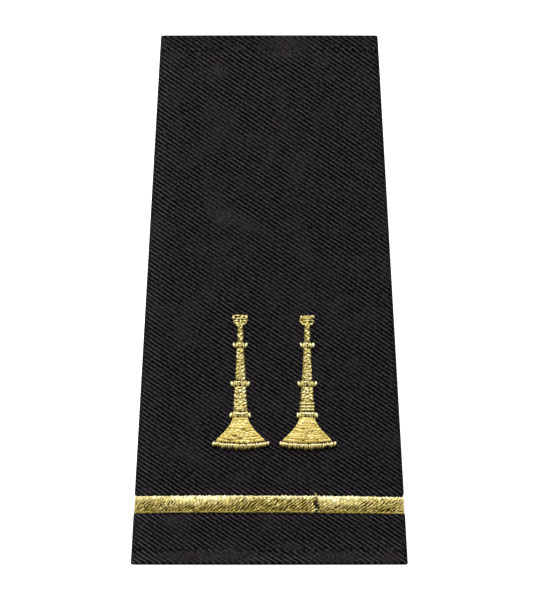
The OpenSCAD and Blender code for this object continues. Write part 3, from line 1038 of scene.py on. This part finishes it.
def stripe(first, last, seed):
    """One length of the stripe, from first to last round the cloth, over its padding."""
    rng = np.random.default_rng(seed)
    gold = Embroidery()
    satin(gold, first, last, rng, seed)
    loose(gold, first, last, rng)
    edge_run(gold, first, last, rng, share=0.08, top_lift=0.1, width=0.32, tint=0.1, shade=1.0)
    # The upper run is paler, with painted highlights.
    edge_run(gold, first, last, rng, share=0.89, top_lift=0.17, width=0.52, tint=1.2, shade=1.35)
    columns = np.linspace(first + 0.3, last - 0.3, max(4, int((last - first) / 0.6)))
    across = np.linspace(-1, 1, 9)[:, None]
    y = on_stripe(0.5 + 0.42 * across, columns)
    lift = -BURIED + (STRIPE_RISE * 0.7 * dome((across + 1) / 2) + BURIED) * (1 - across**4) ** 0.5
    # Its padding is in deep painted shade where it shows between the stitches.
    gold.padding(columns, y, flush(lift, columns, y, FLUSH_PADDING), crest=0.2)
    return gold


def join_bits(gold, join):
    """A wisp that stands up out of the join of the two lengths, and a pale end of thread in it."""
    t = np.linspace(0, 1, STITCH_POINTS)
    around = join + np.array([[0.1, 0.1, 0.08, 0.04, -0.02, -0.1, -0.2, -0.3, -0.4]])
    y = STRIPE_TOP + np.interp(t, [0, 1], [-0.9, 0.5])[None]
    lift = np.interp(t, [0, 0.2, 0.6, 1], [0.1, 0.4, 0.5, 0.3])[None]
    gold.threads(around, y, lift, width=0.24, tint=0.9, shade=0.9)
    lift = np.array([[0.1, 0.3, 0.36, 0.3, 0.1]])
    t = np.linspace(0, 1, lift.size)[None]
    around = join + 0.32 * (t - 0.5)
    gold.threads(around, STRIPE_FOOT + 0.72 + 0.18 * t, lift, width=0.24, tint=1.3)


# The trumpets

# How far the foot of a bell's rim and its top hang down in the middle
RIM_SAG = 0.85
TOP_SAG = 0.48 * RIM_SAG
# A bell's width at its top, as a share of that at its foot, and how late it widens
BELL_TOP = 0.33
BELL_CURVE = 1.56
# Layers of a bell's stitches: distance between rows, length, share sewn, overlap, rise and tint
BELL_LAYERS = ((0.41, 3.4, 1, 0.22, 0.22, 0.65), (0.55, 0.95, 0.75, 0, 0.28, 0.85))
# Threads along the top of a bell's rim
RIM_THREADS = 13
# Distance from a ring's side to its end stitches, and on to the next ones
RING_END = 0.29
RING_STEP = 0.46
# Distance between the rows of a tube's bed
BED_STEP = 0.36
# Distance between the level loops at the foot of the right trumpet's lower tube
LOOP_STEP = 0.66
# How far a field's padding stays inside its sides and its ends
PAD_SIDE = 0.14
PAD_END = 0.12


class Field(Embroidery):
    """A field of stitches on the face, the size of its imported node, with its own run of chance."""

    def __init__(self, node, seed):
        super().__init__(laid=1.0 if node.endswith("_bell") else 0.0)
        low, high = node_box(node)
        self.low, self.high = low[1], high[1]
        self.middle, self.half = (low[0] + high[0]) / 2, (high[0] - low[0]) / 2
        self.height = self.high - self.low
        self.rng = np.random.default_rng(seed)

    def about(self, spread, size=None):
        """Chance values from -spread to spread."""
        return self.rng.uniform(-spread, spread, size)

    def at(self, across, up):
        """Points at shares of the half width from the middle, and of the height from the foot."""
        across, up = np.broadcast_arrays(np.asarray(across, float), np.asarray(up, float))
        return np.stack([self.middle + across * self.half, self.low + up * self.height], axis=-1)

    def upright(self, across, foot, top, rise, width, tint, top_highlight_tint, lean=0.0, shade=0.7):
        """Upright stitches, which lean by a share of the half width, with painted shade at their
        foot and painted light towards their top.
        """
        across = np.asarray(across, float)
        start, end = self.at(across - lean, foot), self.at(across + lean, top)
        self.sew(start, end, rise, width, tint, top_highlight_tint, shade, end_shade=1.05)

    def level(self, up, left, right, rise, width, tint, bow=0.0, shade=1.0):
        """Level stitches."""
        start, end = self.at(left, up), self.at(right, up)
        self.sew(start, end, rise, width, tint, shade=shade, fullness=0.35, bow=bow)

    def pad(self, rise, top_share=1, curve=1, top_sag=0, low_sag=0):
        """Padding as high as its rise. Its width at the top is a share of that at the foot, which a
        higher curve brings later, and its top and foot can hang down in the middle."""
        down, across = np.linspace(0, 1, 5)[:, None], np.linspace(-1, 1, 9)[None]
        half = (self.half - PAD_SIDE) * (top_share + (1 - top_share) * down**curve)
        y = self.high - PAD_END - down * (self.height - low_sag - 2 * PAD_END)
        y = y - (top_sag + (low_sag - top_sag) * down) * (1 - across**2)
        lift = -BURIED + (rise + BURIED) * np.sqrt(1 - across**2) * (1 - (2 * down - 1) ** 4) ** 0.5
        self.padding(around_x(self.middle + across * half, y), y, lift, crest=0.4 + 0.2 * self.laid)


def table(spot, rows):
    """Stitches listed as x and y of both ends in millimetres from the middle of the field's top,
    y downwards, then rise, width, tint and bow. Each end strays a little."""
    rows = np.array(rows)
    top, down = np.array([spot.middle, spot.high]), np.array([1, -1])
    start, end = [top + (rows[:, k:k + 2] + spot.about(0.04, (len(rows), 2))) * down for k in (0, 2)]
    rise, width, tint, bow = rows[:, 4:].T
    spot.sew(start, end, rise, width, tint + spot.about(0.15, len(rows)), bow=bow)


# Stitches of the mouthpieces: x, y, x, y, rise, width, tint, bow. They leave dark slits.
STITCHES = {
    "left_mouth_rim": [
        [-1.4, 0.2, -1.36, 0.8, 0.5, 0.46, 1.25, 0],
        [-1.15, 0.13, 0.05, 0.13, 0.44, 0.26, 1.05, 0.03],
        [0.44, 0.1, 0.28, 0.7, 0.52, 0.46, 1.15, 0],
        [-1.1, 0.82, 0.1, 0.62, 0.42, 0.3, 0.85, 0.04],
        [1.22, 0.14, 1.26, 0.75, 0.5, 0.46, 1.15, 0],
        [0.6, 0.2, 1.05, 0.2, 0.42, 0.3, 0.9, 0],
        [0.35, 0.72, 1.3, 0.78, 0.4, 0.34, 0.3, 0],
        [0.05, 0.5, 0.1, 0.95, 0.46, 0.34, 0.9, 0],
    ],
    "left_mouth_cup": [
        [-0.8, 0.9, 0.8, 0.9, 0.3, 0.5, 0.2, 0],
        [-1.5, 0.4, -0.2, 0.1, 0.44, 0.3, 1.15, 0.12],
        [0.25, 0.06, 1.42, 0.05, 0.42, 0.3, 0.95, -0.06],
        [0.06, -0.1, 0.08, 0.85, 0.5, 0.36, 0.85, 0],
        [-1.25, 0.74, -0.3, 0.62, 0.44, 0.32, 1.25, 0.14],
        [-0.78, 0.7, -0.45, 1.15, 0.5, 0.46, 1.1, 0],
        [0.3, 0.58, 0.9, 0.88, 0.46, 0.42, 1.05, 0],
        [1.22, 0.3, 1.02, 0.74, 0.42, 0.28, 0.9, 0],
        [-0.55, 1.0, -0.15, 1.38, 0.46, 0.4, 1.0, 0],
        [0.38, 0.95, 0.22, 1.38, 0.46, 0.38, 0.9, 0],
    ],
    "right_mouth_rim": [
        [-1.3, 0.6, 1.2, 0.6, 0.3, 0.6, 0.3, 0],
        [-1.3, 0.22, -1.1, 0.6, 0.46, 0.42, 1.1, 0],
        [-1.2, 0.5, -1.42, 0.95, 0.42, 0.3, 0.7, 0],
        [-0.85, 0.52, -0.25, 0.45, 0.46, 0.34, 0.8, 0.28],
        [-0.2, 0.42, 0.4, 0.38, 0.44, 0.32, 0.55, 0.26],
        [0.45, 0.55, 0.95, 0.25, 0.46, 0.36, 0.9, 0.1],
        [0.95, 0.18, 1.38, 0.6, 0.46, 0.38, 1.1, 0.12],
        [-0.6, 0.72, 0.65, 0.76, 0.42, 0.36, 0.3, 0],
        [-1.0, 0.86, -0.4, 0.76, 0.4, 0.34, 0.2, 0],
    ],
    "right_mouth_cup": [
        [-1.25, 0.3, 0.2, 0.25, 0.28, 0.4, 0.1, 0],
        [-0.9, 0.82, 0.85, 0.82, 0.3, 0.5, 0.4, 0],
        [-0.5, 1.15, 0.5, 1.12, 0.3, 0.5, 0.4, 0],
        [-0.7, 0.04, 0.75, 0.12, 0.42, 0.3, 1.05, 0],
        [0.72, 0.1, 1.38, 0.38, 0.42, 0.3, 0.95, 0.05],
        [-1.42, 0.14, -0.9, 0.7, 0.42, 0.34, 0.85, -0.08],
        [-1.15, 0.55, -0.45, 0.95, 0.44, 0.36, 0.85, -0.1],
        [0.04, 0.2, 0.05, 1.2, 0.48, 0.46, 0.5, 0],
        [0.52, 0.95, 1.08, 0.66, 0.46, 0.38, 1.05, 0],
        [-0.32, 0.9, -0.15, 1.38, 0.46, 0.4, 0.85, 0],
        [0.38, 1.0, 0.25, 1.38, 0.44, 0.36, 0.6, 0],
    ],
}


def ring(spot, out, bar=False):
    """A ring: a round stitch at each end, pale with painted light at its top, which leans out there,
    short upright ones between, and a level one. A bar has closer ones, and slanted ones in place of
    the level one."""
    ends = np.array([-1, 1])
    edge = 1 - RING_END / spot.half
    sink = 0.1 if bar else 0
    spot.upright(
        ends * edge, foot=0.14 - sink, top=0.8 - sink, rise=0.6, width=0.52, tint=0.8, top_highlight_tint=1.6,
        lean=ends * (out + spot.about(0.05)) / spot.half + spot.about(0.02, 2), shade=0.85,
    )
    inner = edge - RING_STEP / spot.half
    count = max(3, round(2 * inner * spot.half / (0.4 if bar else 0.5)) + 1)
    spot.upright(
        np.linspace(-inner, inner, count) + spot.about(0.06, count),
        foot=-0.08 + spot.about(0.08, count),
        top=0.93 + spot.about(0.1, count),
        rise=0.44 + spot.about(0.08, count),
        width=0.42,
        tint=0.4 + spot.about(0.3, count),
        top_highlight_tint=1.0 + spot.about(0.3, count),
        lean=((-1.0) ** np.arange(count) * 0.13 + spot.about(0.05, count)) / spot.half,
        shade=0.85 if bar else 0.7,
    )
    if bar:
        left = np.linspace(-0.85, 0.4, 4) * inner
        start = spot.at(left, 0.66 + spot.about(0.1, 4))
        end = spot.at(left + 0.62 * inner, 0.66 + spot.about(0.1, 4))
        spot.sew(start, end, rise=0.66, width=0.42, tint=1.3 + spot.about(0.35, 4), bow=0.06)
    else:
        spot.level([0.78], [-inner * 0.9], [inner * 0.5], rise=0.56, width=0.32, tint=1.2, bow=0.05)


def tube(spot, top_share, row_step, slope, bed, loops=0):
    """A tube: a bed of level stitches, and rows of short slanted ones over it that leave specks of
    the bed in painted shade. The last few can be level loops with slots between them."""
    count = max(4, round(spot.height / BED_STEP))
    down = (np.arange(count) + 0.5) / count
    half = top_share + (1 - top_share) * down - PAD_SIDE / spot.half
    reach = half + spot.about(0.06, (2, count)) / spot.half
    # The lower bed is, the darker the bed's tint and painted shade.
    spot.level(
        1 - down + spot.about(0.1 / spot.height, count), -reach[0], reach[1],
        rise=0.24 + spot.about(0.06, count), width=0.38, tint=bed - 0.3 + spot.about(0.3, count), shade=bed,
    )
    # The slanted stitches: lines of them down the tube, with one or more places side by side
    tall = spot.height - loops * LOOP_STEP
    wide = max(1, round(spot.half * (1 + top_share)))
    lines = max(2, round(tall / row_step))
    line, place = np.divmod(np.arange(lines * wide), wide)
    total = len(line)
    shift = 0.5 * (place % 2) * (wide > 1)
    down = (line + 0.5 + shift + spot.about(0.2, total)) / (lines + 0.5) * tall / spot.height
    half = top_share + (1 - top_share) * down
    across = ((place + 0.5) / wide * 2 - 1) * half + np.where(wide > 1, 0, 0.3 * (-1.0) ** line)
    turned = np.where(spot.rng.uniform(size=total) < 0.35, -1, 1) if wide > 1 else (-1) ** line
    heading = turned * (slope + spot.about(0.3, total))
    length = spot.rng.uniform(0.42, 0.58, total)
    step = np.stack([np.cos(heading), np.sin(heading)], axis=1) * length[:, None]
    middle, limit = spot.at(across, 1 - down), half * spot.half - 0.2
    start, end = middle - step, middle + step
    for point in (start, end):
        point[:, 0] = np.clip(point[:, 0], spot.middle - limit, spot.middle + limit)
    spot.sew(
        start, end, rise=0.5 + spot.about(0.1, total), width=0.42 + spot.about(0.06, total),
        tint=0.85 + spot.about(0.45, total), bow=spot.about(0.1, total),
    )
    if loops:
        spot.level(
            (np.arange(loops) + 0.4) * LOOP_STEP / spot.height, -1.0 + spot.about(0.05, loops),
            1.0 + spot.about(0.05, loops), rise=0.56, width=0.42, tint=1.0 + spot.about(0.3, loops),
            bow=spot.about(0.06, loops),
        )


def bell(spot):
    """The bell: a bed of fine level rows that widen and sag towards the rim, short level stitches
    scattered over them, and a run of stitches down each side."""
    foot, tall = TOP_SAG / spot.height, 1 - TOP_SAG / spot.height

    def half_at(down):
        """Half the width of the stitches, as a share, at a share of the way down."""
        return BELL_TOP + (1 - BELL_TOP) * down**BELL_CURVE - (0.26 - 0.2 * down) / spot.half

    def up_at(down, across):
        """How high a row lies at a place across it."""
        return foot + tall * (1 - down) - foot * down * (1 - (across / half_at(down)) ** 2)

    stitches = []
    for step, length, sewn, overlap, rise, tint in BELL_LAYERS:
        count = round(spot.height * tall / step)
        for down in (np.arange(count) + 0.5) / count:
            half = half_at(down)
            pieces = max(1, round(2 * half * spot.half / length))
            cuts = np.linspace(-half, half, pieces + 1)
            cuts[1:-1] += spot.about(0.45 * length, pieces - 1) / spot.half
            chosen = spot.rng.uniform(size=pieces) < sewn
            stray = spot.about(0.09 * step, (2, pieces)) / spot.height
            over = np.full(pieces + 1, overlap / spot.half)
            over[[0, -1]] = 0.06 / spot.half
            left, right = (cuts[:-1] - over[:-1])[chosen], (cuts[1:] + over[1:])[chosen]
            crown = np.sqrt(np.clip(1 - ((left + right) / 2 / half) ** 2, 0, 1))
            stitches.append((
                spot.at(left, up_at(down, left) + stray[0][chosen]),
                spot.at(right, up_at(down, right) + stray[1][chosen]),
                rise + 0.24 * crown + spot.about(0.03, len(left)),
                tint + spot.about(0.4, len(left)),
            ))
    start, end, rise, tint = [np.concatenate(rows) for rows in zip(*stitches)]
    spot.sew(
        start, end, rise, width=0.58 + spot.about(0.09, len(rise)), tint=tint, shade=1.05, fullness=0.3,
        bow=spot.about(0.05, len(rise)),
    )
    # The runs down the sides
    down = np.linspace(0.02, 1, 8)
    for side in (-1, 1):
        points = spot.at(side * half_at(down), foot + tall * (1 - down))
        start, end = points[:-1] + [0, 0.05], points[1:] - [0, 0.05]
        spot.sew(start, end, rise=0.26, width=0.32, tint=0.95 + spot.about(0.2, len(start)))


def bell_rim(spot):
    """The rim of a bell: short stitches side by side along its hanging curve."""
    count = round(2 * spot.half / 0.46)
    across = (np.linspace(-1, 1, count) + spot.about(0.1 / spot.half, count)) * (1 - 0.24 / spot.half)
    hang = 1 - across**2
    top = 1 - (TOP_SAG * hang + 0.12) / spot.height + spot.about(0.03, count)
    foot = RIM_SAG * (1 - hang) / spot.height + spot.about(0.11, count)
    lean = (0.1 + 0.1 * across + spot.about(0.06, count)) / spot.half
    # Some reach up into the gap above them.
    top = top + np.where(spot.rng.uniform(size=count) < 0.3, 0.14, 0) / spot.height
    width = 0.45 + spot.about(0.12, count)
    # Painted highlights at the stitches' tops, and painted shade at their feet
    top_highlight_tint = 1.25 + spot.about(0.35, count)
    width[[0, -1]], top_highlight_tint[[0, -1]] = 0.54, 1.6
    spot.upright(
        across, foot, top, rise=0.5 + spot.about(0.1, count), width=width,
        tint=-0.1 + spot.about(0.25, count), top_highlight_tint=top_highlight_tint, lean=lean, shade=0.34,
    )
    # Threads pale with painted highlights lie along the rim's top, nearly end to end.
    count = RIM_THREADS
    left = np.linspace(-0.93, 0.82, count) + spot.about(0.03, count)
    right = left + 0.13 + spot.about(0.03, count)
    start, end = [
        spot.at(across, 1 - (TOP_SAG * (1 - across**2) + 0.32 + spot.about(0.07, count)) / spot.height)
        for across in (left, right)
    ]
    rise = 0.58 + spot.about(0.06, count)
    spot.sew(start, end, rise, width=0.34, tint=1.35 + spot.about(0.3, count))


# Each field's stitches with what they need, and the shape of its padding
FIELDS = {
    "mouth_rim": (table, {}, {"rise": 0.14, "top_share": 0.9}),
    "mouth_cup": (table, {}, {"rise": 0.1, "top_share": 0.3}),
    "upper_tube": (tube, {"top_share": 1, "row_step": 0.62, "slope": 0.6, "bed": 0.72}, {"rise": 0.2}),
    "upper_ring": (ring, {"out": 0.14}, {"rise": 0.22}),
    "middle_tube": (
        tube,
        {"top_share": 0.7, "row_step": 0.8, "slope": 0.75, "bed": 0.8},
        {"rise": 0.16, "top_share": 0.7},
    ),
    "middle_ring": (ring, {"out": 0.1}, {"rise": 0.22}),
    "lower_tube": (
        tube,
        {"top_share": 0.8, "row_step": 0.76, "slope": 0.6, "bed": 0.95},
        {"rise": 0.16, "top_share": 0.85},
    ),
    "lower_ring": (ring, {"out": -0.13, "bar": True}, {"rise": 0.22}),
    "bell": (bell, {}, {"rise": 0.2, "top_share": BELL_TOP, "curve": BELL_CURVE, "low_sag": TOP_SAG}),
    "bell_rim": (bell_rim, {}, {"rise": 0.2, "top_sag": TOP_SAG, "low_sag": RIM_SAG}),
}


def field(node, seed, material):
    """One field of a trumpet as a piece: its padding, and its stitches over that."""
    stitches, details, padding = FIELDS[node.split("_", 1)[1]]
    if node in STITCHES:
        details = {"rows": STITCHES[node]}
    if node == "right_lower_tube":
        details = {**details, "loops": 3}
    spot = Field(node, seed)
    spot.pad(**padding)
    stitches(spot, **details)
    return spot.mesh(node + "_thread", material)


# Hem stitching

# Length of one stitch with the gap after it, the gap, and the thread's width
STITCH_L = 2.4
STITCH_GAP = 0.35
HEM_THREAD = 0.26
# How deep the stitches go down, and how far they rise from there
STITCH_DEPTH = 0.72
STITCH_ARCH = 0.42


def hem_stitches(material):
    """Black lockstitches round both ends, sunk in the dent that they pull."""
    threads = Embroidery()
    for end in (-1, 1):
        y = end * (END_Y - STITCH_IN)
        girth = 2 * around_at(SEAM, y)
        count = int(girth / STITCH_L)
        start = np.linspace(-girth / 2 + 0.1, girth / 2 - 0.1, count + 1)[:-1]
        share = steps_along(STITCH_POINTS)
        around = start[:, None] + (girth / count - STITCH_GAP) * share
        threads.threads(around, y, STITCH_ARCH * arch(share, 0.5) - STITCH_DEPTH, HEM_THREAD, tint=0.5)
    return threads.mesh("hem_stitches", material)


# Putting it together

twill_material, gold_material, black_material = twill(), gold(), black_thread()

cloth_piece = cloth(twill_material)
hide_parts("cloth_tube")
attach(cloth_piece, "root")

hem_piece = hem_stitches(black_material)
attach(hem_piece, "root")

fold_end = sum(stretches(STRIPE_MIDDLE)[:2]) + STRIPE_WRAP
join_left = around_x(long_high[0], STRIPE_MIDDLE)
join_right = around_x(short_low[0], STRIPE_MIDDLE)
long_gold = stripe(-fold_end, join_left, seed=11)
join_bits(long_gold, (join_left + join_right) / 2)
gold_pieces = {
    "stripe_long": long_gold.mesh("stripe_long_thread", gold_material),
    "stripe_short": stripe(join_right, fold_end, seed=12).mesh("stripe_short_thread", gold_material),
}
FIELD_SEED = 100
for number, node in enumerate(f"{side}_{name}" for side in ("left", "right") for name in FIELDS):
    gold_pieces[node] = field(node, FIELD_SEED + number, gold_material)
for node, piece in gold_pieces.items():
    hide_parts(node)
    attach(piece, "root")

# The cloth was cut as one piece: round the tube with two seam allowances, and its length with hems.
SEAM_ALLOWANCE = 8
cut_w = 2 * around_at(SEAM, -END_Y) + 2 * SEAM_ALLOWANCE
cut_mean_w = 2 * around_at(SEAM, 0.0) + 2 * SEAM_ALLOWANCE
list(gold_pieces.values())

# Floor, light and camera

# Half the floor's side, and how far it lies below the board
FLOOR_HALF = 2000.0
FLOOR_DROP = 0.1


def floor():
    """A pale table that is lit from below, as a light table is, so that nothing casts a shadow."""
    n = Nodes("pale_floor")
    n.fill(
        n.shader,
        Base_Color=(0.9, 0.9, 0.9, 1),
        Roughness=0.9,
        Specular_IOR_Level=0.0,
        Emission_Color=(1, 1, 1, 1),
        Emission_Strength=0.85,
    )
    signs = ((-1, -1), (1, -1), (1, 1), (-1, 1))
    corners = [(x * FLOOR_HALF, y * FLOOR_HALF, -FLOOR_DROP) for x, y in signs]
    parts = Parts()
    parts.add(np.array(corners), [np.array([[0, 1, 2, 3]])], {}, {})
    piece = parts.mesh("floor", n.material)


def area_light(name, place, aim, size, power):
    """A square light at a place, turned towards its aim, with its size in metres and power in watts."""
    light = bpy.data.lights.new(name, "AREA")
    light.size = size
    light.energy = power
    lamp = put_in_scene(name, light)
    lamp.location = place
    lamp.rotation_euler = (Vector(aim) - Vector(place)).to_track_quat("-Z", "Y").to_euler()


# The photograph's own frame in pixels, the board's length in it, and where the board's middle lies
PHOTO_W, PHOTO_H = 540, 600
BOARD_PIXELS = 529.55
MIDDLE_PIXEL = (269.3, 300.0)
# Metres above the floor
CAMERA_HEIGHT = 8.0


def camera():
    """A camera far above the board, which shows it as the photograph does."""
    pixel = SLIDE_L * MM / BOARD_PIXELS
    data = bpy.data.cameras.new("camera")
    data.sensor_fit = "VERTICAL"
    data.angle = 2 * math.atan(PHOTO_H * pixel / 2 / (CAMERA_HEIGHT - FOLD_H * MM))
    eye = put_in_scene("camera", data)
    left, down = PHOTO_W / 2 - MIDDLE_PIXEL[0], MIDDLE_PIXEL[1] - PHOTO_H / 2
    eye.location = (left * pixel, down * pixel, CAMERA_HEIGHT)
    bpy.context.scene.camera = eye


floor()
camera()
area_light("key", place=(-0.03, 0.6, 0.48), aim=(0, 0, 0), size=0.35, power=9)
world = bpy.data.worlds.new("studio")
world.use_nodes = True
background = world.node_tree.nodes["Background"]
background.inputs["Color"].default_value = (1, 1, 1, 1)
background.inputs["Strength"].default_value = 0.45
bpy.context.scene.world = world
bpy.context.scene.view_settings.view_transform = "Standard"
